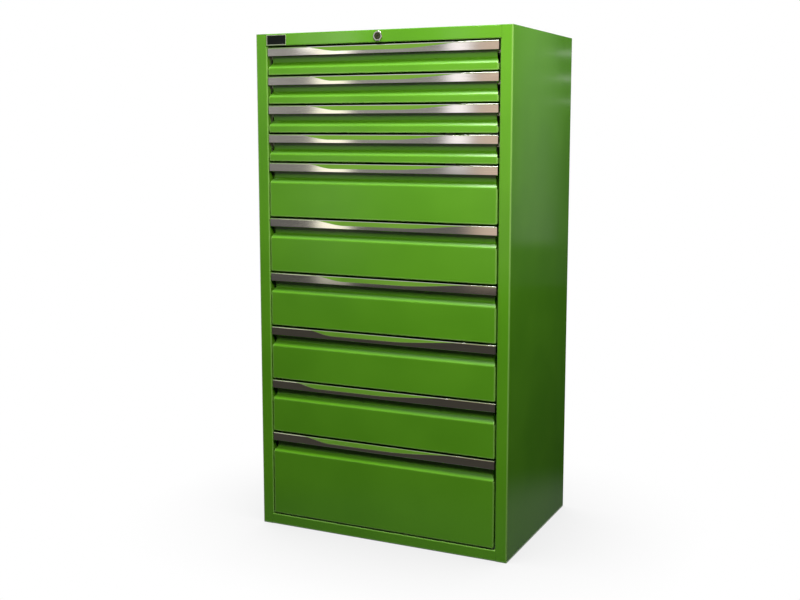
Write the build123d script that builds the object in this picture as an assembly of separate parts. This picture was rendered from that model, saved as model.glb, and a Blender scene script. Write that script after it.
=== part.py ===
from build123d import *
import os
from math import cos, radians, sin

# Sheet-steel drawer cabinet for tools: four shallow, five medium and one deep drawer.
# X runs to the right, the front faces -Y, Z is up, and the origin is the middle of the base.

# Cabinet shell
cabinet_width = 725
cabinet_depth = 490
post_width = 32
top_rail_height = 32
bottom_rail_height = 29
sheet = 1.2
bend_radius = 1.0
post_return_depth = 25
post_lip = 12
rail_return_depth = 14
rail_lip = 5
rear_flange = 20
corner_relief = 1.0
rail_overlap = 0.3

# Drawers, from the top down
shallow_pitch = 76
medium_pitch = 149
deep_pitch = 236
shallow_count = 4
medium_count = 5
deep_count = 1
drawer_gap = 4
front_sheet = 1.0
front_return_depth = 14
recess_depth = 12
recess_bottom = 40
slope_height = 14
slope_bend_radius = 3
recess_end_inset = 8

# Polished grip strip along the top of each drawer front
grip_sheet = 1.0
grip_height = 23
grip_hook = 8
grip_hem_height = 6
grip_hem_gap = 0.5
grip_hem_radius = 0.2

# Drawer trays
tray_sheet = 1.0
tray_rear_space = 50.8
tray_top_drop = 14
tray_floor_rise = 4
tray_lip = 6

# Telescopic slides: a channel on the cabinet, a middle member and a rail on the tray
slide_start = 17
slide_rear_space = 31.8
slide_height = 45
slide_thickness = 12.7
slide_sheet = 1.2
slide_web_gap = 1.2
slide_above_floor = 26
ball_row_gap = 0.3
ball_row_width = 3
outer_ball_height = 2.9
inner_ball_height = 2.5
slide_seat_gap = 0.3
fixed_slide_lip = 8.5
middle_set_back = 2

# Uprights that carry the slides
upright_sheet = 1.5
upright_width = 30
upright_foot = 10
upright_behind_post = 4

# Back panel screws
screw_head_radius = 4
screw_head_height = 1.8
screw_shank_radius = 1.9
screw_length = 8
screw_clearance = 0.1
screw_thread_clearance = 0.05
side_screw_rows = 5
screw_edge_distance = 60
screw_inset = 11
top_screw_columns = 4
top_screw_spacing = 150

# Central lock
bezel_radius = 13
bezel_height = 3
bezel_rounding = 1.5
barrel_radius = 9.5
barrel_length = 22
barrel_hole_clearance = 0.2
nut_across_flats = 24
nut_height = 3
nut_clearance = 0.05
plug_radius = 6
plug_head_radius = 7.2
plug_head_depth = 2
plug_inset = 0.4
plug_clearance = 0.08
keyway_width = 8
keyway_height = 1.6
keyway_depth = 12
tail_side = 5
tail_length = 9
tail_clearance = 0.05
hub_radius = 7
hub_length = 10
hub_gap = 0.3
rod_radius = 4
rod_bracket_width = 30
rod_bracket_sheet = 2
rod_bracket_foot = 16
rod_bracket_drop = 9
crank_radius = 9
crank_disc_radius = 13
crank_disc_height = 3
crank_disc_gap = 3
crank_pin_radius = 2.5
crank_pin_clearance = 0.45
crank_start_angle = 45

# Lock bar behind the drawers
bar_width = 32
bar_sheet = 3
bar_clearance = 0.4
bar_stand_off = 5
bar_end_margin = 4
guide_wall = 4
guide_side = 6
guide_height = 20
stop_gap = 0.3
finger_width = 14
finger_sheet = 3
finger_play = 3
catch_width = 18
catch_sheet = 3
catch_to_bar = 13.8
catch_drop = 13
catch_below_tray_top = 3
catch_clearance = 2
lift_clearance = 1.5

# Blank name plate
plate_width = 60
plate_height = 27
plate_sheet = 1.4
plate_inset = 33
plate_drop = 3
plate_rim = 1.2
plate_sunk = 0.4
plate_corner = 1.5

# Sizes that follow
pitches = [shallow_pitch] * shallow_count + [medium_pitch] * medium_count + [deep_pitch] * deep_count
cabinet_height = bottom_rail_height + sum(pitches) + drawer_gap + top_rail_height
half_width = cabinet_width / 2
front = -cabinet_depth / 2
back = cabinet_depth / 2
back_inner = back - sheet
opening_half = half_width - post_width
opening_top = cabinet_height - top_rail_height
rail_half = opening_half + bend_radius + sheet + rail_overlap
drawer_half = opening_half - drawer_gap
wall_inner = half_width - sheet
slide_face = opening_half - slide_seat_gap
slide_front = front + slide_start
slide_back = back_inner - slide_rear_space
tray_half = slide_face - slide_thickness
tray_front = front + recess_depth + front_sheet
tray_back = back_inner - tray_rear_space
lock_height = cabinet_height - top_rail_height / 2
crank_drop = crank_radius * sin(radians(crank_start_angle))
bar_lift = 2 * crank_drop
bar_front = back_inner - bar_stand_off - bar_sheet
bar_back = bar_front + bar_sheet
catch_back = bar_front - catch_to_bar
crank_disc_front = bar_front - crank_disc_gap - crank_disc_height
drawer_tops = [opening_top - drawer_gap / 2 - sum(pitches[:index]) for index in range(len(pitches))]


def box(x, y, z):
    """Block between the low and high value given for each axis."""
    centre = Pos((x[0] + x[1]) / 2, (y[0] + y[1]) / 2, (z[0] + z[1]) / 2)
    return centre * Box(x[1] - x[0], y[1] - y[0], z[1] - z[0])


def pin(radius, y, x=0, z=0):
    """Round bar along Y between two values of y."""
    return Pos(x, (y[0] + y[1]) / 2, z) * Rot(90, 0, 0) * Cylinder(radius, y[1] - y[0])


def folded(points, thickness, radius=bend_radius):
    """Section of a folded sheet: the points follow its outer face, and the sheet lies to their left."""
    corners = [Vector(*point) for point in points]
    runs = [(end - start).normalized() for start, end in zip(corners, corners[1:])]
    sides = [Vector(-run.Y, run.X) for run in runs]
    inner = [corners[0] + sides[0] * thickness]
    outer_radii = []
    inner_radii = []
    for corner, before, after in zip(corners[1:-1], sides, sides[1:]):
        inner.append(corner + (before + after) * (thickness / (1 + before.dot(after))))
        turns_left = before.cross(after).Z > 0
        outer_radii.append(radius + thickness if turns_left else radius)
        inner_radii.append(radius if turns_left else radius + thickness)
    inner.append(corners[-1] + sides[-1] * thickness)
    radii = [0, *outer_radii, 0, 0, *reversed(inner_radii), 0]
    return make_face(FilletPolyline(*corners, *reversed(inner), radius=radii, close=True))


def along_x(section, start, end):
    """Section in Y and Z, run from start to end along X."""
    return Pos(start, 0, 0) * extrude(Plane.YZ * section, end - start)


def along_y(section, start, end):
    """Section in X and Z, run from start to end along Y."""
    return Pos(0, start, 0) * extrude(Plane.XZ * section, end - start, dir=(0, 1, 0))


def along_z(section, start, end):
    """Section in X and Y, run from start to end along Z."""
    return Pos(0, 0, start) * extrude(section, end - start)


def left_of(piece):
    """The same piece on the cabinet's left."""
    return mirror(piece, about=Plane.YZ)


def save(name, *pieces):
    """Write the pieces of one node."""
    solids = [solid for piece in pieces for solid in piece.solids()]
    export_step(solids[0] if len(solids) == 1 else Compound(solids), f"parts/{name}.step")


def screw_places():
    """X and Z of each screw of the back panel."""
    low = screw_edge_distance
    step = (cabinet_height - 2 * low) / (side_screw_rows - 1)
    places = []
    for row in range(side_screw_rows):
        places += [(-half_width + screw_inset, low + row * step), (half_width - screw_inset, low + row * step)]
    for column in range(top_screw_columns):
        x = (column - (top_screw_columns - 1) / 2) * top_screw_spacing
        places += [(x, screw_inset), (x, cabinet_height - screw_inset)]
    return places


def screw_holes(clearance):
    """Cutters for the screws of the back panel."""
    radius = screw_shank_radius + clearance
    return [pin(radius, (back_inner - 2 * sheet, back + sheet), x, z) for x, z in screw_places()]


def side_panel():
    """Right side wall, folded round the front into the post and round the back into a flange."""
    post_back = front + post_return_depth
    wall = along_z(folded([(opening_half + post_lip, post_back), (opening_half, post_back), (opening_half, front),
                           (half_width, front), (half_width, back_inner),
                           (half_width - rear_flange, back_inner)], sheet), 0, cabinet_height)
    behind_face = (front + sheet, back)
    notch_x = (opening_half - sheet, rail_half)
    notch_y = (front - sheet, post_back + sheet)
    wall -= box((0, wall_inner), behind_face, (cabinet_height - sheet, cabinet_height + sheet))
    wall -= box((0, wall_inner), behind_face, (-sheet, sheet))
    wall -= box(notch_x, notch_y, (opening_top - corner_relief, cabinet_height + sheet))
    wall -= box(notch_x, notch_y, (-sheet, bottom_rail_height + corner_relief))
    return wall - screw_holes(screw_thread_clearance)


def top_panel():
    """Top sheet with the top rail folded down at its front and a flange at its back."""
    rail_back = front + rail_return_depth
    rail = folded([(back_inner, cabinet_height - rear_flange), (back_inner, cabinet_height),
                   (front, cabinet_height), (front, opening_top), (rail_back, opening_top),
                   (rail_back, opening_top + rail_lip)], sheet)
    panel = along_x(rail, -rail_half, rail_half)
    panel += box((-wall_inner, wall_inner), (front + sheet, back_inner), (cabinet_height - sheet, cabinet_height))
    barrel_hole = pin(barrel_radius + barrel_hole_clearance, (front - sheet, front + 2 * sheet), 0, lock_height)
    return panel - barrel_hole - screw_holes(screw_thread_clearance)


def base_panel():
    """Bottom sheet with the bottom rail folded up at its front and a flange at its back."""
    rail_back = front + rail_return_depth
    rail = folded([(rail_back, bottom_rail_height - rail_lip), (rail_back, bottom_rail_height),
                   (front, bottom_rail_height), (front, 0), (back_inner, 0), (back_inner, rear_flange)], sheet)
    panel = along_x(rail, -rail_half, rail_half)
    panel += box((-wall_inner, wall_inner), (front + sheet, back_inner), (0, sheet))
    return panel - screw_holes(screw_thread_clearance)


def back_panel():
    """Flat sheet screwed over the rear flanges."""
    margin = bend_radius + 2 * sheet
    panel = box((-half_width + margin, half_width - margin), (back_inner, back), (margin, cabinet_height - margin))
    return panel - screw_holes(screw_clearance)


def back_panel_screw(x, z):
    """Pan-head screw with a slot."""
    head = pin(screw_head_radius, (back, back + screw_head_height), x, z)
    head = fillet(head.edges().group_by(Axis.Y)[-1], screw_head_height / 2)
    slot_depth = screw_head_height / 2
    slot = box((x - screw_head_radius, x + screw_head_radius), (back + slot_depth, back + 2 * screw_head_height),
               (z - slot_depth / 2, z + slot_depth / 2))
    return head - slot + pin(screw_shank_radius, (back - screw_length, back), x, z)


def upright(start):
    """Right-hand hat section that ties the base to the top and carries the slides."""
    foot = wall_inner - upright_sheet
    end = start + upright_width
    section = folded([(foot, end + upright_foot), (foot, end), (slide_face, end), (slide_face, start),
                      (foot, start), (foot, start - upright_foot)], upright_sheet)
    return along_z(section, sheet, cabinet_height - sheet)


def slide_centre(index):
    """Height of the middle of a drawer's slides."""
    return drawer_tops[index] - pitches[index] + drawer_gap / 2 + tray_floor_rise + slide_above_floor


def fixed_slide(index):
    """Right-hand outer channel of a slide, welded to the uprights."""
    middle = slide_centre(index)
    half = slide_height / 2
    lip = slide_face - fixed_slide_lip
    section = folded([(lip, middle - half), (slide_face, middle - half), (slide_face, middle + half),
                      (lip, middle + half)], slide_sheet, slide_sheet / 2)
    return along_y(section, slide_front, slide_back)


def middle_flange_height():
    """Half height of the middle member, under its outer row of balls."""
    return slide_height / 2 - slide_sheet - ball_row_gap - outer_ball_height


def rail_half_height():
    """Half height of the tray's rail, under the inner row of balls."""
    return middle_flange_height() - slide_sheet - inner_ball_height - ball_row_gap


def middle_slide(index):
    """Right-hand middle member with its outer and inner rows of balls."""
    middle = slide_centre(index)
    half = middle_flange_height()
    web = slide_face - slide_sheet - slide_web_gap
    lip = tray_half + slide_sheet + slide_web_gap + ball_row_gap
    section = folded([(lip, middle - half), (web, middle - half), (web, middle + half), (lip, middle + half)],
                     slide_sheet, slide_sheet / 2)
    y = (slide_front + middle_set_back, slide_back - middle_set_back)
    member = along_y(section, *y)
    row_centre = (lip + web) / 2
    row_x = (row_centre - ball_row_width / 2, row_centre + ball_row_width / 2)
    for side in (-1, 1):
        outer_row = sorted((middle + side * half, middle + side * (half + outer_ball_height)))
        inner_row = sorted((middle + side * (half - slide_sheet),
                            middle + side * (half - slide_sheet - inner_ball_height)))
        member += box(row_x, y, outer_row)
        member += box(row_x, y, inner_row)
    return member


def tray_rail(index):
    """Right-hand inner rail of a slide, welded to the tray."""
    middle = slide_centre(index)
    half = rail_half_height()
    web = tray_half
    lip = slide_face - slide_sheet - slide_web_gap - slide_sheet - slide_web_gap
    section = folded([(lip, middle + half), (web, middle + half), (web, middle - half), (lip, middle - half)],
                     slide_sheet, slide_sheet / 2)
    return along_y(section, tray_front + middle_set_back, tray_back - middle_set_back)


def drawer_front(index):
    """Folded front: recess behind the grip, slope out to the flat face, returns at the sides and bottom."""
    top = drawer_tops[index]
    bottom = top - pitches[index] + drawer_gap / 2
    recess = front + recess_depth
    slope_top = top - drawer_gap / 2 - recess_bottom
    slope_foot = slope_top - slope_height
    wall_top = top - drawer_gap / 2 - grip_sheet - grip_hem_radius
    back_edge = front + front_return_depth
    overlap = 2 * (bend_radius + front_sheet)
    corner = bend_radius + front_sheet

    face = folded([(-drawer_half, back_edge), (-drawer_half, front), (drawer_half, front),
                   (drawer_half, back_edge)], front_sheet)
    panel = along_z(face, bottom + corner, slope_foot - corner)

    upper = folded([(recess, wall_top), (recess, slope_top), (front, slope_foot), (front, slope_foot - overlap)],
                   front_sheet, slope_bend_radius)
    upper = along_x(upper, -drawer_half + corner, drawer_half - corner)
    inset_half = drawer_half - recess_end_inset
    for side in (-1, 1):
        end = make_face(Polyline((side * drawer_half, slope_foot), (side * inset_half, slope_top),
                                 (side * inset_half, top), (side * (drawer_half + corner), top),
                                 (side * (drawer_half + corner), slope_foot), close=True))
        upper -= along_y(end, front - corner, back_edge + corner)

    lower = folded([(front, bottom + overlap), (front, bottom), (back_edge, bottom)], front_sheet)
    lower = along_x(lower, -drawer_half + corner, drawer_half - corner)
    return panel + upper + lower


def grip_strip(index):
    """Polished strip hooked over the top of the drawer front, hemmed along its lower edge."""
    top = drawer_tops[index] - drawer_gap / 2
    hook = front + recess_depth + front_sheet + grip_sheet
    hem = front + 2 * grip_sheet + grip_hem_gap
    bottom = top - grip_height
    section = folded([(hook, top - grip_hook), (hook, top), (front, top), (front, bottom), (hem, bottom),
                      (hem, bottom + grip_hem_height)], grip_sheet, grip_hem_radius)
    return along_x(section, -drawer_half, drawer_half)


def drawer_tray(index):
    """Open tray with turned-in lips along its sides."""
    top = drawer_tops[index] - drawer_gap / 2 - tray_top_drop
    floor = drawer_tops[index] - pitches[index] + drawer_gap / 2 + tray_floor_rise
    tray = box((-tray_half, tray_half), (tray_front, tray_back), (floor, top))
    inner_half = tray_half - tray_sheet
    tray -= box((-inner_half, inner_half), (tray_front + tray_sheet, tray_back - tray_sheet),
                (floor + tray_sheet, top + tray_sheet))
    for side in (-1, 1):
        lip_x = sorted((side * inner_half, side * (tray_half - tray_lip)))
        tray += box(lip_x, (tray_front, tray_back), (top - tray_sheet, top))
    return tray


def catch(index):
    """Arm and turned-down tab at the back of a tray, which the lock bar's finger holds."""
    top = drawer_tops[index] - drawer_gap / 2 - tray_top_drop - catch_below_tray_top
    half = catch_width / 2
    arm = box((-half, half), (tray_back, catch_back), (top - catch_sheet, top))
    tab_z = (top - catch_sheet - catch_drop, top - catch_sheet)
    return arm, box((-half, half), (catch_back - catch_sheet, catch_back), tab_z)


def finger(index):
    """Arm and turned-up end on the lock bar, below the catch until the bar is raised."""
    tab_bottom = (drawer_tops[index] - drawer_gap / 2 - tray_top_drop - catch_below_tray_top
                  - catch_sheet - catch_drop)
    arm_top = tab_bottom - bar_lift - lift_clearance
    half = finger_width / 2
    start = catch_back - catch_sheet - finger_play - finger_sheet
    arm = box((-half, half), (start, bar_front), (arm_top - finger_sheet, arm_top))
    end = box((-half, half), (start, start + finger_sheet), (arm_top, tab_bottom - catch_clearance))
    return arm, end


def bar_bottom():
    """Foot of the lock bar, just below its lowest finger."""
    return finger(len(pitches) - 1)[0].bounding_box().min.Z - bar_end_margin


def lock_bar():
    """Flat bar that rises to hold all drawers, with a slot for the crank pin."""
    half = bar_width / 2
    slot_middle = lock_height - crank_drop
    slot_half = crank_pin_radius + crank_pin_clearance
    bar = box((-half, half), (bar_front, bar_back), (bar_bottom(), slot_middle + slot_half + bar_end_margin))
    return bar - box((-crank_radius - slot_half, -crank_drop + slot_half), (bar_front - sheet, bar_back + sheet),
                     (slot_middle - slot_half, slot_middle + slot_half))


def bar_guides():
    """Blocks on the back panel that the lock bar runs in, and the stop that it rests on."""
    blocks = []
    half = bar_width / 2 + bar_clearance
    channel_y = (bar_front - bar_clearance, bar_back + bar_clearance)
    outer_x = (-half - guide_side, half + guide_side)
    block_y = (channel_y[0] - guide_wall, back_inner)
    for index in (1, len(pitches) // 2, len(pitches) - 1):
        z = (drawer_tops[index] - guide_height / 2, drawer_tops[index] + guide_height / 2)
        blocks.append(box(outer_x, block_y, z) - box((-half, half), channel_y, (z[0] - sheet, z[1] + sheet)))
    stop_top = bar_bottom() - stop_gap
    blocks.append(box(outer_x, block_y, (stop_top - guide_height, stop_top)))
    return blocks


def barrel():
    """Lock body with its round bezel in front of the rail."""
    bezel = pin(bezel_radius, (front - bezel_height, front), 0, lock_height)
    bezel = fillet(bezel.edges().group_by(Axis.Y)[0], bezel_rounding)
    body = bezel + pin(barrel_radius, (front, front + barrel_length), 0, lock_height)
    body -= pin(plug_radius + plug_clearance, (front - bezel_height, front + barrel_length), 0, lock_height)
    counterbore = (front - bezel_height, front - bezel_height + plug_inset + plug_head_depth + plug_clearance)
    return body - pin(plug_head_radius + plug_clearance, counterbore, 0, lock_height)


def barrel_nut():
    """Hexagon nut that clamps the barrel behind the rail."""
    face = Pos(0, lock_height) * RegularPolygon(nut_across_flats / 2, 6, major_radius=False)
    start = front + sheet
    nut = along_y(face, start, start + nut_height)
    return nut - pin(barrel_radius + nut_clearance, (start - sheet, start + nut_height + sheet), 0, lock_height)


def plug():
    """Turning core with its keyway and square tail."""
    face = front - bezel_height + plug_inset
    end = front + barrel_length
    core = pin(plug_head_radius, (face, face + plug_head_depth), 0, lock_height)
    core += pin(plug_radius, (face + plug_head_depth, end), 0, lock_height)
    half = tail_side / 2
    core += box((-half, half), (end, end + tail_length), (lock_height - half, lock_height + half))
    return core - box((-keyway_width / 2, keyway_width / 2), (face - sheet, face + keyway_depth),
                      (lock_height - keyway_height / 2, lock_height + keyway_height / 2))


def drive_rod():
    """Rod from the plug's tail to the crank disc and pin that lift the lock bar."""
    start = front + barrel_length + hub_gap
    socket = tail_side / 2 + tail_clearance
    rod = pin(hub_radius, (start, start + hub_length), 0, lock_height)
    rod -= box((-socket, socket), (start - sheet, front + barrel_length + tail_length + tail_clearance),
               (lock_height - socket, lock_height + socket))
    rod += pin(rod_radius, (start + hub_length, crank_disc_front), 0, lock_height)
    rod += pin(crank_disc_radius, (crank_disc_front, crank_disc_front + crank_disc_height), 0, lock_height)
    across = crank_radius * cos(radians(crank_start_angle))
    rod += pin(crank_pin_radius, (crank_disc_front + crank_disc_height, bar_back + sheet), -across,
               lock_height - crank_drop)
    return rod


def rod_bracket():
    """Bracket under the top sheet that carries the rear of the drive rod."""
    end = crank_disc_front - crank_disc_height
    start = end - rod_bracket_sheet
    half = rod_bracket_width / 2
    top = cabinet_height - sheet
    bracket = box((-half, half), (start, end), (lock_height - rod_bracket_drop, top))
    bracket += box((-half, half), (end - rod_bracket_foot, end), (top - rod_bracket_sheet, top))
    return bracket - pin(rod_radius + plug_clearance, (start - sheet, end + sheet), 0, lock_height)


def name_plate():
    """Plain plate with a raised rim, left blank."""
    left = -half_width + plate_inset
    top = cabinet_height - plate_drop
    middle_x = left + plate_width / 2
    middle_z = top - plate_height / 2
    outline = Pos(middle_x, middle_z) * RectangleRounded(plate_width, plate_height, plate_corner)
    sunk = Pos(middle_x, middle_z) * Rectangle(plate_width - 2 * plate_rim, plate_height - 2 * plate_rim)
    plate = along_y(outline, front - plate_sheet, front)
    return plate - along_y(sunk, front - plate_sheet - plate_sunk, front - plate_sheet + plate_sunk)


os.makedirs("parts", exist_ok=True)

right_side = side_panel()
save("right_side_panel", right_side)
save("left_side_panel", left_of(right_side))
save("top_panel", top_panel())
save("base_panel", base_panel())
save("back_panel", back_panel())
save("back_panel_screws", *[back_panel_screw(x, z) for x, z in screw_places()])

front_upright = upright(front + post_return_depth + upright_behind_post)
rear_upright = upright(slide_back - upright_width)
save("front_right_upright", front_upright)
save("front_left_upright", left_of(front_upright))
save("rear_right_upright", rear_upright)
save("rear_left_upright", left_of(rear_upright))

fixed = [fixed_slide(index) for index in range(len(pitches))]
save("fixed_slides_right", *fixed)
save("fixed_slides_left", *[left_of(slide) for slide in fixed])

save("name_plate", name_plate())
save("lock_barrel", barrel())
save("lock_nut", barrel_nut())
save("lock_plug", plug())
save("lock_drive_rod", drive_rod())
save("lock_rod_bracket", rod_bracket())
fingers = [piece for index in range(len(pitches)) for piece in finger(index)]
save("lock_bar", lock_bar(), *fingers)
save("lock_bar_guides", *bar_guides())

for index in range(len(pitches)):
    drawer = f"drawer_{index + 1}"
    rail = tray_rail(index)
    member = middle_slide(index)
    save(f"{drawer}_front", drawer_front(index))
    save(f"{drawer}_grip_strip", grip_strip(index))
    save(f"{drawer}_tray", drawer_tray(index), rail, left_of(rail), *catch(index))
    save(f"{drawer}_slides", member, left_of(member))
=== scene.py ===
from math import cos, pi, radians, sin

import bpy
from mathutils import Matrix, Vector


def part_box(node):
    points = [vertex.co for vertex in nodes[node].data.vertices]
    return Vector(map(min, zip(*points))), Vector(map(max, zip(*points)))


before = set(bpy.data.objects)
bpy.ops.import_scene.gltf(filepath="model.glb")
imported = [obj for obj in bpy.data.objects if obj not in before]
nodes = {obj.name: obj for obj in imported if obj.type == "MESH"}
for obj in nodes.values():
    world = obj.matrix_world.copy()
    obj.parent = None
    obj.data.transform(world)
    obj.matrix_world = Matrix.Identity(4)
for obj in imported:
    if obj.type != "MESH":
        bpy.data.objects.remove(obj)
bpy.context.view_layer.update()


# The camera stands in front of the cabinet, to its right, about a quarter of a metre below its top.
# It looks slightly down through a lens of about 50 mm, with a small downward shift.
photo_width = 800
sensor_width = 36.0
focal_pixels = 1120.5
camera_place = (1.2852, -2.8393, 1.1023)
camera_turn = 25.24
camera_pitch = 7.52
camera_shift = -0.03

lens = bpy.data.cameras.new("camera")
lens.sensor_width = sensor_width
lens.lens = focal_pixels / photo_width * sensor_width
lens.shift_y = camera_shift
camera = bpy.data.objects.new("camera", lens)
camera.location = camera_place
camera.rotation_euler = (radians(90 - camera_pitch), 0, radians(camera_turn))
bpy.context.scene.collection.objects.link(camera)
bpy.context.scene.camera = camera
bpy.context.scene.view_settings.view_transform = "Standard"


# The studio is a pale floor that runs out into a white background.
# The floor keeps a soft shadow close to the cabinet and is plain white further away.
class Wire:
    """An output of a shader node. Arithmetic on it adds Math nodes, and node() adds any other node."""

    def __init__(self, tree, socket=None):
        self.tree = tree
        self.socket = socket

    def node(self, kind, settings, sockets, output=0):
        """The output of a new node, whose settings are made before its sockets are filled."""
        made = self.tree.nodes.new(kind)
        for name, value in settings.items():
            setattr(made, name, value)
        for name, value in sockets.items():
            if isinstance(value, Wire):
                self.tree.links.new(value.socket, made.inputs[name])
            else:
                made.inputs[name].default_value = value
        return Wire(self.tree, made.outputs[output] if made.outputs else None)

    def maths(self, operation, *values):
        return self.node("ShaderNodeMath", {"operation": operation}, dict(enumerate(values)))

    def __add__(self, other):
        return self.maths("ADD", self, other)

    def __sub__(self, other):
        return self.maths("SUBTRACT", self, other)

    def __rsub__(self, other):
        return self.maths("SUBTRACT", other, self)

    def __mul__(self, other):
        return self.maths("MULTIPLY", self, other)

    __radd__ = __add__
    __rmul__ = __mul__

    def size(self):
        """The value without its sign."""
        return self.maths("ABSOLUTE", self)

    def at_least(self, *others):
        """The largest of this value and the others."""
        largest = self
        for other in others:
            largest = self.maths("MAXIMUM", largest, other)
        return largest

    def ramp(self, low, high):
        """0 below low and 1 above high, with a smooth step between them."""
        return self.node("ShaderNodeMapRange", {"interpolation_type": "SMOOTHSTEP"},
                         {"Value": self, "From Min": low, "From Max": high})

    def between(self, low, high, soft):
        """1 from low to high and 0 outside, with soft edges."""
        return self.ramp(low - soft, low + soft) * (1 - self.ramp(high - soft, high + soft))

    def spread(self, margin=0.3):
        """Noise, which keeps to the middle of its range, drawn out to reach 0 and 1."""
        return self.ramp(margin, 1 - margin)

    def tint(self, dark, light):
        """Colour between two colours, by this value."""
        return self.node("ShaderNodeMix", {"data_type": "RGBA"}, {0: self, 6: dark, 7: light}, output=2)

    def bump(self, **sockets):
        """A normal that follows this height, which is in metres."""
        return self.node("ShaderNodeBump", {}, {"Height": self, "Distance": 1.0, **sockets})

    def place(self):
        """Position on the object, in metres, in the cabinet's own frame."""
        return self.node("ShaderNodeTexCoord", {}, {}, output="Object")

    def part(self, letter):
        """The X, Y or Z of this vector."""
        return self.node("ShaderNodeSeparateXYZ", {}, {0: self}, output=letter)

    def stretched(self, factors):
        """This position with each of its parts multiplied."""
        return self.node("ShaderNodeVectorMath", {"operation": "MULTIPLY"}, {0: self, 1: factors})

    def noise(self, cells, detail=2.0):
        """Soft noise at this position, with so many cells to its unit of length."""
        return self.node("ShaderNodeTexNoise", {}, {"Vector": self, "Scale": cells, "Detail": detail})

    def background_rays(self):
        """1 where the background is seen directly, in a mirror or through glass."""
        seen, mirrored, through = [self.node("ShaderNodeLightPath", {}, {}, output=name)
                                   for name in ("Is Camera Ray", "Is Glossy Ray", "Is Transmission Ray")]
        return seen.at_least(mirrored, through)

    def cover(self, output="ShaderNodeOutputMaterial"):
        """Ends the node tree with this shader."""
        self.node(output, {}, {"Surface": self})


def new_finish(name):
    """A material with an empty node tree, and a wire to start its nodes from."""
    material = bpy.data.materials.new(name)
    material.use_nodes = True
    material.node_tree.nodes.clear()
    return material, Wire(material.node_tree)


ring_sides = 96


def ring(radius, height):
    """Corners of a level circle round the cabinet."""
    turns = [2 * pi * step / ring_sides for step in range(ring_sides)]
    return [(radius * cos(turn), radius * sin(turn), height) for turn in turns]


def studio_sheet(name, corners, faces, finish):
    """A sheet of the studio, which isn't part of the cabinet."""
    mesh = bpy.data.meshes.new(name)
    mesh.from_pydata(corners, [], faces)
    mesh.materials.append(finish)
    made = bpy.data.objects.new(name, mesh)
    bpy.context.scene.collection.objects.link(made)
    return made


disc = [tuple(range(ring_sides))]
floor_radius = 14.0
shadow_reach = 0.45
shadow_level = (0.7, 0.7, 0.7, 1)
shadow_samples = 16
floor_colour = (0.04, 0.04, 0.039, 1)
room_light = (0.022, 0.023, 0.022, 1)
white = (1, 1, 1, 1)

floor_finish, start = new_finish("pale_floor")
openness = start.node("ShaderNodeAmbientOcclusion", {"samples": shadow_samples}, {"Distance": shadow_reach},
                      output="AO")
matt = start.node("ShaderNodeBsdfDiffuse", {}, {"Color": floor_colour})
glow = start.node("ShaderNodeEmission", {}, {"Color": openness.tint(shadow_level, white)})
start.node("ShaderNodeMixShader", {}, {0: start.background_rays(), 1: matt, 2: glow}).cover()
studio_sheet("floor", ring(floor_radius, 0), disc, floor_finish)

world = bpy.data.worlds.new("studio")
world.use_nodes = True
world.node_tree.nodes.clear()
start = Wire(world.node_tree)
dim = start.node("ShaderNodeBackground", {}, {"Color": room_light})
plain = start.node("ShaderNodeBackground", {}, {"Color": white})
sky = start.node("ShaderNodeMixShader", {}, {0: start.background_rays(), 1: dim, 2: plain})
sky.cover("ShaderNodeOutputWorld")
bpy.context.scene.world = world


# The lamps are soft panels. A long one hangs overhead, in front of the cabinet and to its right, so that
# the light falls off towards the floor. Two small ones light the front and the side, and one the back.
def panel_lamp(name, place, aim, width, depth, watts, colour, mirrored=False):
    """A soft rectangular lamp that faces a point. Gloss shows it only if it is to be mirrored."""
    data = bpy.data.lights.new(name, "AREA")
    data.shape = "RECTANGLE"
    data.size = width
    data.size_y = depth
    data.energy = watts
    data.color = colour
    lamp = bpy.data.objects.new(name, data)
    lamp.location = place
    lamp.rotation_euler = (Vector(aim) - Vector(place)).to_track_quat("-Z", "Y").to_euler()
    lamp.visible_glossy = mirrored
    bpy.context.scene.collection.objects.link(lamp)


panel_lamp("ceiling_lamp", place=(0.45, -0.9, 3.7), aim=(0.45, -0.9, 0), width=2.4, depth=0.7, watts=104,
           colour=(1.0, 1.0, 0.97), mirrored=True)
panel_lamp("front_lamp", place=(0.7, -1.4, 1.9), aim=(0.1, -0.25, 1.0), width=0.8, depth=0.6, watts=26,
           colour=(1.0, 0.99, 0.96))
panel_lamp("side_lamp", place=(1.1, -0.1, 1.75), aim=(0.36, 0, 1.1), width=0.5, depth=0.6, watts=5.2,
           colour=(0.98, 1.0, 0.98))
panel_lamp("rear_lamp", place=(-2.2, 2.8, 2.6), aim=(0, 0, 0.7), width=2.0, depth=2.0, watts=130,
           colour=(1.0, 1.0, 0.98))


# The polished strips and the glossy paint mirror a dim workshop with a few pale patches in it, green high
# up. It stands round the cabinet as a wall and a floor mat that only show in reflections.
def only_in_reflections(made):
    """Shows a studio sheet to gloss alone."""
    made.visible_camera = False
    made.visible_diffuse = False
    made.visible_shadow = False
    made.visible_transmission = False


wall_radius = 5.0
wall_height = 7.5
wall_foot = (0.10, 0.095, 0.085, 1)
wall_grey = (0.34, 0.325, 0.30, 1)
wall_pale = (0.46, 0.45, 0.43, 1)
wall_green = (0.13, 0.32, 0.03, 1)
wall_leaf = (0.28, 0.58, 0.07, 1)
door_cream = (1.6, 1.55, 1.25, 1)
lit_white = (3.0, 2.9, 2.7, 1)
curtain_pink = (0.80, 0.62, 0.48, 1)
window_white = (1.5, 1.42, 1.42, 1)
rear_pale = (0.27, 0.27, 0.26, 1)
rear_dark = (0.05, 0.05, 0.05, 1)
tube_white = (1.6, 1.6, 1.6, 1)
mottle_stretch = (1, 1, 0.4)
mottle_cells = 1.1
streak_stretch = (9, 9, 1.5)
streak_range = (0.4, 0.62)

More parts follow.
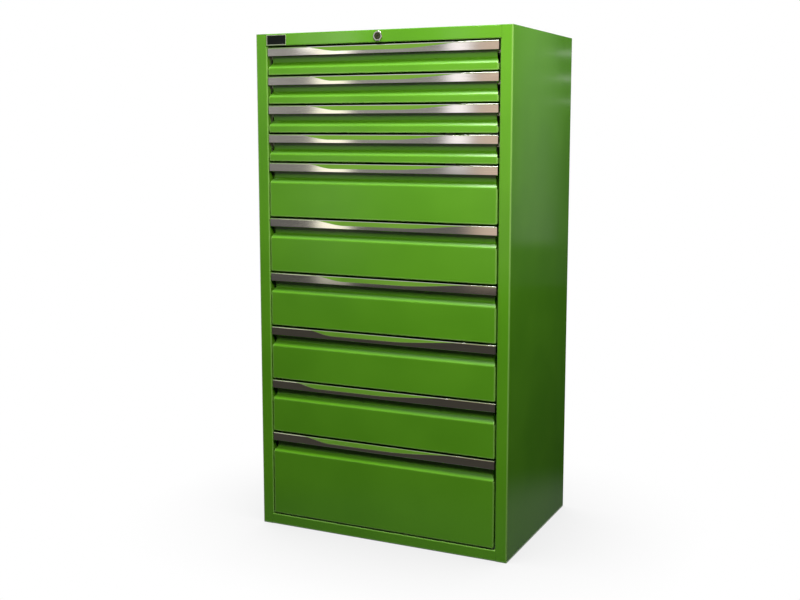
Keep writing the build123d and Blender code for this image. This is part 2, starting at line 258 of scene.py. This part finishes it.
# Heights are in metres, and turns in degrees round the cabinet, from its front towards its left. Two
# numbers are where a fade starts and ends. Three are the edges of a patch and how soft they are.
foot_heights = (0.0, 1.3)
curtain_turns = (16.5, 19.0)
curtain_heights = (-0.2, 0.45)
window_turns = (18.0, 19.8, 0.6)
window_heights = (0.7, 1.0)
door_turns = (27.4, 30.0, 0.5)
door_heights = (-0.2, 0.5)
lit_turns = (26.3, 31.2, 0.4)
lit_heights = (1.62, 1.8, 0.03)
green_heights = (1.8, 1.9)
leaf_heights = (2.0, 5.0)
leaf_drift = 2
front_turns = (-90, -60)

# Behind the cabinet and to its right, turns are from its front towards its right.
shade_turns = (158.9, 180, 0.25)
far_shade_turns = (150, 155.6, 0.3)
tube_turns = (159.0, 170, 0.3)
tube_heights = ((1.60, 1.62, 0.01), (1.43, 1.45, 0.01), (1.28, 1.29, 0.01))
horizon_heights = (0.26, 0.34)

wall_finish, start = new_finish("workshop_wall")
place = start.place()
height = place.part("Z")
left_turn = start.maths("ARCTAN2", -1 * place.part("X"), -1 * place.part("Y")) * (180 / pi)
right_turn = -1 * left_turn
mottle = place.stretched(mottle_stretch).noise(mottle_cells)
streaks = place.stretched(streak_stretch).noise(1.0).ramp(*streak_range)
mottled = mottle.spread(margin=0.35).tint(wall_grey, wall_pale)
plain_wall = height.ramp(*foot_heights).tint(wall_foot, mottled)
curtain = height.ramp(*curtain_heights) * (1 - left_turn.ramp(*curtain_turns))
window = left_turn.between(*window_turns) * height.ramp(*window_heights)
door = left_turn.between(*door_turns) * height.ramp(*door_heights)
lit_patch = left_turn.between(*lit_turns) * height.between(*lit_heights) * streaks
leaves = (height + leaf_drift * (mottle - 0.5)).ramp(*leaf_heights).tint(wall_green, wall_leaf)
front_wall = curtain.tint(plain_wall, curtain_pink)
front_wall = window.tint(front_wall, window_white)
front_wall = door.tint(front_wall, door_cream)
front_wall = lit_patch.tint(front_wall, lit_white)
front_wall = height.ramp(*green_heights).tint(front_wall, leaves)
shades = right_turn.between(*shade_turns).at_least(right_turn.between(*far_shade_turns))
first_tube, *other_tubes = [height.between(*heights) for heights in tube_heights]
tubes = first_tube.at_least(*other_tubes) * right_turn.between(*tube_turns)
rear_wall = tubes.tint(shades.tint(rear_pale, rear_dark), tube_white)
rear_wall = height.ramp(*horizon_heights).tint(rear_dark, rear_wall)
whole_wall = left_turn.ramp(*front_turns).tint(rear_wall, front_wall)
start.node("ShaderNodeEmission", {}, {"Color": whole_wall}).cover()
wall_sides = [(step, (step + 1) % ring_sides, (step + 1) % ring_sides + ring_sides, step + ring_sides)
              for step in range(ring_sides)]
wall_corners = ring(wall_radius, 0) + ring(wall_radius, wall_height)
only_in_reflections(studio_sheet("workshop_wall", wall_corners, wall_sides, wall_finish))

mat_near = (0.14, 0.14, 0.14, 1)
mat_brown = (0.062, 0.056, 0.045, 1)
mat_dark = (0.015, 0.015, 0.015, 1)
mat_lift = 0.004
near_reach = (0.45, 0.8)
brown_reach = (-0.5, 0.2)

mat_finish, start = new_finish("workshop_mat")
place = start.place()
reach = start.node("ShaderNodeVectorMath", {"operation": "LENGTH"}, {0: place}, output="Value")
far_mat = place.part("Y").ramp(*brown_reach).tint(mat_brown, mat_dark)
start.node("ShaderNodeEmission", {}, {"Color": reach.ramp(*near_reach).tint(mat_near, far_mat)}).cover()
only_in_reflections(studio_sheet("workshop_mat", ring(wall_radius, mat_lift), disc, mat_finish))


# The shell is 1.2 mm sheet steel: two sides folded round into the front posts, a folded top and base, and a
# flat back. All but the back are welded together from the inside. Each is powder coated in a glossy lime
# green with a faint orange peel.
paint_dark = (0.098, 0.325, 0.010, 1)
paint_light = (0.115, 0.365, 0.013, 1)
# Painted highlight: a paler green along the bends of the shell and of the drawer fronts.
painted_highlight_green = (0.27, 0.50, 0.11, 1)
# Painted shade: a darker green deep inside the shell and at the back of each drawer front's recess.
painted_shade_green = (0.056, 0.19, 0.006, 1)
peel_size = 0.0028
peel_height = 0.00002
peel_dulling = 0.03
blotch_size = 0.22
blotch_dulling = 0.04
wave_stretch = (1, 1, 0.45)
edge_samples = 4


def coated(start, roughness, wave_size, wave_height, edge_radius, bends, recess):
    """Green powder coat over slightly wavy sheet steel, with a painted highlight on bends and painted shade
    in a recess.
    """
    place = start.place()
    blotches = place.noise(1 / blotch_size)
    grains = place.noise(1 / peel_size, detail=1.0)
    waves = place.stretched(wave_stretch).noise(1 / wave_size, detail=0.0)
    rounded = start.node("ShaderNodeBevel", {"samples": edge_samples}, {"Radius": edge_radius})
    body = blotches.spread().tint(paint_dark, paint_light)
    return start.node("ShaderNodeBsdfPrincipled", {}, {
        "Base Color": recess(start).tint(bends(start).tint(body, painted_highlight_green), painted_shade_green),
        "Roughness": roughness + blotch_dulling * (blotches - 0.5) + peel_dulling * (grains - 0.5),
        "Normal": (grains * peel_height + waves * wave_height).bump(Normal=rounded)})


def powder_coat(name, **coat):
    """A material that is powder coat all over."""
    material, start = new_finish(name)
    coated(start, **coat).cover()
    return material


shell_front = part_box("right_side_panel")[0].y
shell_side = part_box("right_side_panel")[1].x
opening_gap = 0.002
opening_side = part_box("drawer_1_front")[1].x + opening_gap
opening_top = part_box("drawer_1_grip_strip")[1].z + opening_gap
opening_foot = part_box("drawer_10_front")[0].z - opening_gap
opening_middle = (opening_top + opening_foot) / 2
# These place the painted highlight along the shell's front corners and round its opening.
highlight_width = 0.0022
highlight_strength = 0.65
# These shape the painted shade deep inside the shell.
inner_margin = 0.012
inner_fade = 0.004
inner_front = 0.03
depth_softness = 0.01
height_softness = 0.006


def shell_bends(start):
    """How strong the painted highlight is along the shell's front corners and round its opening, and 0
    elsewhere.
    """
    place = start.place()
    sideways = place.part("X").size()
    y = place.part("Y")
    from_corner = (shell_side - sideways).at_least(y - shell_front)
    past_height = (place.part("Z") - opening_middle).size() - (opening_top - opening_middle)
    from_opening = (sideways - opening_side).at_least(past_height)
    corner_line = 1 - from_corner.ramp(highlight_width, 2 * highlight_width)
    opening_line = from_opening.between(0, 1.5 * highlight_width, highlight_width / 4)
    at_front = 1 - y.ramp(shell_front + 2 * highlight_width, shell_front + 3 * highlight_width)
    return corner_line.at_least(opening_line) * at_front * highlight_strength


def shell_painted_shade(start):
    """1 deep inside the shell, clear of its outer walls, where the coat is darkened as painted shade."""
    place = start.place()
    margin_end = shell_side - inner_margin
    across = 1 - place.part("X").size().ramp(margin_end, margin_end + inner_fade)
    y = place.part("Y")
    deep = y.between(shell_front + inner_front, -shell_front - inner_margin, depth_softness)
    upward = place.part("Z").between(inner_margin, opening_top, height_softness)
    return across * deep * upward


def finish_nodes(material, *names):
    """Gives CAD nodes their finish."""
    for name in names:
        for slot in nodes[name].material_slots:
            slot.material = material


panel_coat = powder_coat(
    "panel_powder_coat", roughness=0.1, wave_size=0.16, wave_height=0.00035, edge_radius=0.0026,
    bends=shell_bends, recess=shell_painted_shade)
finish_nodes(panel_coat, "left_side_panel", "right_side_panel", "top_panel", "base_panel", "back_panel")


# The uprights are hat sections folded from sheet steel, which carry the slides. They are welded between
# the base and the top, and take the same coat as the shell.
finish_nodes(panel_coat, "front_left_upright", "front_right_upright")
finish_nodes(panel_coat, "rear_left_upright", "rear_right_upright")


# Pan-head screws with a slot hold the back panel on the flanges of the shell.
# They are bright zinc plated steel, with a faint blue cast.
zinc_light = (0.66, 0.67, 0.66, 1)
zinc_dark = (0.48, 0.49, 0.50, 1)
line_height = 0.00001
cloud_cells = 28.0
cloud_dulling = 0.14


def plated(start, lines_per_metre, roughness):
    """Zinc plated steel with fine lines, which run along the axis with the fewest of them to a metre."""
    place = start.place()
    lines = place.stretched(lines_per_metre).noise(1.0)
    clouds = place.noise(cloud_cells)
    return start.node("ShaderNodeBsdfPrincipled", {}, {
        "Base Color": (0.5 * lines + 0.5 * clouds).spread(margin=0.35).tint(zinc_dark, zinc_light),
        "Roughness": roughness + cloud_dulling * (clouds - 0.5),
        "Metallic": 1.0,
        "Normal": (lines * line_height).bump()})


def zinc_plate(name, **plating):
    """A material that is zinc plated all over."""
    material, start = new_finish(name)
    plated(start, **plating).cover()
    return material


screw_zinc = zinc_plate("screw_zinc", lines_per_metre=(600, 600, 600), roughness=0.34)
finish_nodes(screw_zinc, "back_panel_screws")


# Each drawer runs on two telescopic slides: a channel on the uprights, a middle member and a rail on the
# tray. They are roll-formed from zinc plated strip, so their drawing lines run along them.
drawer_count = sum(1 for name in nodes if name.endswith("_grip_strip"))
drawers = [f"drawer_{number}" for number in range(1, drawer_count + 1)]
slide_plating = dict(lines_per_metre=(1500, 12, 1500), roughness=0.3)
slide_zinc = zinc_plate("slide_zinc", **slide_plating)
finish_nodes(slide_zinc, "fixed_slides_left", "fixed_slides_right")
finish_nodes(slide_zinc, *[f"{drawer}_slides" for drawer in drawers])


# The drawer fronts are folded from 1 mm sheet and coated like the shell.
# A front has a recess behind its grip strip, a slope out to its flat face and small returns all round.
# These place the painted highlight where a drawer front's sheet turns a corner.
highlight_radius = 0.0055
highlight_samples = 6
highlight_range = (0.01, 0.09)
# These shape the painted shade at the back of each front's recess.
recess_depth = 0.012
face_depth = 0.0008


def drawer_bends(start):
    """1 where the sheet turns a corner, and its rounded normal leaves its true one. A highlight is painted
    there.
    """
    facing = start.node("ShaderNodeNewGeometry", {}, {}, output="Normal")
    rounded = start.node("ShaderNodeBevel", {"samples": highlight_samples}, {"Radius": highlight_radius})
    alike = start.node("ShaderNodeVectorMath", {"operation": "DOT_PRODUCT"}, {0: rounded, 1: facing},
                       output="Value")
    return (1 - alike).ramp(*highlight_range)


def recess_painted_shade(start):
    """1 at the back of a front's recess, and 0 on its flat face and on what lies behind it. Shade is
    painted there.
    """
    y = start.place().part("Y")
    into_recess = y.ramp(shell_front + face_depth, shell_front + 0.65 * recess_depth)
    behind_front = y.ramp(shell_front + 1.2 * recess_depth, shell_front + 1.4 * recess_depth)
    return into_recess * (1 - behind_front)


drawer_coat = dict(roughness=0.19, wave_size=0.3, wave_height=0.00012, edge_radius=0.0028,
                   bends=drawer_bends, recess=recess_painted_shade)
front_coat = powder_coat("front_powder_coat", **drawer_coat)
finish_nodes(front_coat, *[f"{drawer}_front" for drawer in drawers])


# The trays are folded from the same sheet and coated too. The rails welded to their sides and the catches
# behind them are zinc plated, like the slides and the lock bar that they work with.
# The sheet of a tray ends at these places, and its rails and catch begin.
tray_side = 0.3175
tray_back = 0.193
plating_start = (0.0002, 0.0004)

tray_finish, start = new_finish("tray_powder_coat")
place = start.place()
bare = (place.part("X").size() - tray_side).at_least(place.part("Y") - tray_back).ramp(*plating_start)
start.node("ShaderNodeMixShader", {}, {
    0: bare, 1: coated(start, **drawer_coat), 2: plated(start, **slide_plating)}).cover()
finish_nodes(tray_finish, *[f"{drawer}_tray" for drawer in drawers])


# The grip strips are polished stainless steel, folded over the top of each front and hemmed below.
# Their upper half leans back a little over most of the length, as rolled strip does after folding.
steel_light = (0.74, 0.73, 0.71, 1)
steel_dark = (0.62, 0.61, 0.60, 1)
polish_roughness = 0.03
hairlines_per_metre = (14, 1800, 1800)
hairline_height = 0.000004
hairline_dulling = 0.07

# Places along and up a strip are shares of its length and height.
wanders_per_metre = 9
wander_share = 0.34
lean_angle = 23
lean_share = 0.6
lean_start = (0.14, 0.3)
lean_end = (0.56, 0.92)
curl_share = 0.13
curl_slope = 0.85

strip_low, strip_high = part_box("drawer_1_grip_strip")
strip_height = strip_high.z - strip_low.z
strip_finish, start = new_finish("polished_strip")
place = start.place()
share = start.node("ShaderNodeTexCoord", {}, {}, output="Generated")
wander = place.stretched((0, 0, wanders_per_metre)).noise(1.0, detail=0.0)
along = share.part("X") + wander_share * (wander - 0.5)
up = share.part("Z")
lean_depth = lean_share * along.ramp(*lean_start) * (1 - along.ramp(*lean_end))
lean = (up - (1 - lean_depth)).at_least(0.0) * (-strip_height * sin(radians(lean_angle)))
into_curl = (up - (1 - curl_share)).at_least(0.0)
curl = into_curl * into_curl * (-strip_height * curl_slope / (2 * curl_share))
hairlines = place.stretched(hairlines_per_metre).noise(1.0, detail=3.0)
start.node("ShaderNodeBsdfPrincipled", {}, {
    "Base Color": hairlines.spread().tint(steel_dark, steel_light),
    "Roughness": polish_roughness + hairline_dulling * hairlines,
    "Metallic": 1.0,
    "Normal": (lean + curl + hairlines * hairline_height).bump()}).cover()
finish_nodes(strip_finish, *[f"{drawer}_grip_strip" for drawer in drawers])


# The lock is a chromed barrel with a turning plug, clamped behind the top rail by its nut.
# A zinc plated rod runs back from the plug, through its bracket, to the crank that lifts the lock bar.
chrome_light = (0.82, 0.82, 0.82, 1)
chrome_dark = (0.7, 0.7, 0.71, 1)
# Painted shade: the barrel's face round the plug, inside the bezel, is painted near black.
barrel_painted_shade = (0.05, 0.045, 0.035, 1)
painted_shade_radius = 0.0084
bezel_inside = 0.0092
chrome_roughness = 0.08
haze_cells = 260.0
haze_height = 0.000005
haze_dulling = 0.08

lock_low, lock_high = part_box("lock_plug")
chrome_finish, start = new_finish("lock_chrome")
place = start.place()
haze = place.noise(haze_cells)
off_x = place.part("X") - (lock_low.x + lock_high.x) / 2
off_z = place.part("Z") - (lock_low.z + lock_high.z) / 2
on_bezel = (off_x * off_x + off_z * off_z).ramp(painted_shade_radius ** 2, bezel_inside ** 2)
start.node("ShaderNodeBsdfPrincipled", {}, {
    "Base Color": on_bezel.tint(barrel_painted_shade, haze.spread().tint(chrome_dark, chrome_light)),
    "Roughness": chrome_roughness + haze_dulling * haze,
    "Metallic": 1.0,
    "Normal": (haze * haze_height).bump()}).cover()
finish_nodes(chrome_finish, "lock_barrel")

plug_light = (0.21, 0.20, 0.16, 1)
plug_dark = (0.09, 0.085, 0.065, 1)
plug_roughness = 0.26
# Painted shade: the keyway and all of the plug behind its face are painted near black.
keyway_painted_shade = (0.006, 0.006, 0.005, 1)
keyway_start = (0.0003, 0.0008)
rub_cells = 700.0
rub_range = (0.35, 0.7)
rub_dulling = 0.14

plug_finish, start = new_finish("plug_dark_nickel")
place = start.place()
rub = place.noise(rub_cells)
in_keyway = (place.part("Y") - lock_low.y).ramp(*keyway_start)
start.node("ShaderNodeBsdfPrincipled", {}, {
    "Base Color": in_keyway.tint(rub.ramp(*rub_range).tint(plug_dark, plug_light), keyway_painted_shade),
    "Roughness": plug_roughness + rub_dulling * rub,
    "Metallic": 1.0}).cover()
finish_nodes(plug_finish, "lock_plug")

rod_zinc = zinc_plate("rod_zinc", lines_per_metre=(900, 20, 900), roughness=0.3)
finish_nodes(rod_zinc, "lock_nut", "lock_drive_rod", "lock_rod_bracket")


# The lock bar is a flat zinc plated bar with a finger for each drawer, and slides up and down behind the
# trays. It runs in nylon guide blocks on the back panel.
bar_zinc = zinc_plate("bar_zinc", lines_per_metre=(900, 900, 14), roughness=0.36)
finish_nodes(bar_zinc, "lock_bar")

nylon_light = (0.72, 0.70, 0.65, 1)
nylon_dark = (0.62, 0.60, 0.54, 1)
nylon_roughness = 0.5
grain_cells = 180.0
grain_height = 0.00003
grain_dulling = 0.1

nylon_finish, start = new_finish("guide_nylon")
grain = start.place().noise(grain_cells)
start.node("ShaderNodeBsdfPrincipled", {}, {
    "Base Color": grain.spread().tint(nylon_dark, nylon_light),
    "Roughness": nylon_roughness + grain_dulling * grain,
    "Normal": (grain * grain_height).bump()}).cover()
finish_nodes(nylon_finish, "lock_bar_guides")


# The plate sits at the left of the top rail and is left blank.
# It is thin sheet with a black lacquered face inside a raised bright rim.
lacquer_black = (0.004, 0.005, 0.006, 1)
lacquer_roughness = 0.16
lacquer_specular = 0.2
rim_bright = (0.9, 0.9, 0.88, 1)
rim_width = 0.0018
rim_softness = 0.0001
rim_dulling = 0.1
speck_cells = 900.0
speck_dulling = 0.1

plate_low, plate_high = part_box("name_plate")
plate_middle = (plate_low + plate_high) / 2
plate_half = (plate_high - plate_low) / 2
plate_finish, start = new_finish("plate_black")
place = start.place()
out_x = (place.part("X") - plate_middle.x).size() - (plate_half.x - rim_width)
out_z = (place.part("Z") - plate_middle.z).size() - (plate_half.z - rim_width)
on_rim = out_x.at_least(out_z).ramp(-rim_softness, rim_softness)
specks = place.noise(speck_cells)
start.node("ShaderNodeBsdfPrincipled", {}, {
    "Base Color": on_rim.tint(lacquer_black, rim_bright),
    "Roughness": lacquer_roughness + speck_dulling * specks + rim_dulling * on_rim,
    "Metallic": on_rim,
    "Specular IOR Level": lacquer_specular}).cover()
finish_nodes(plate_finish, "name_plate")
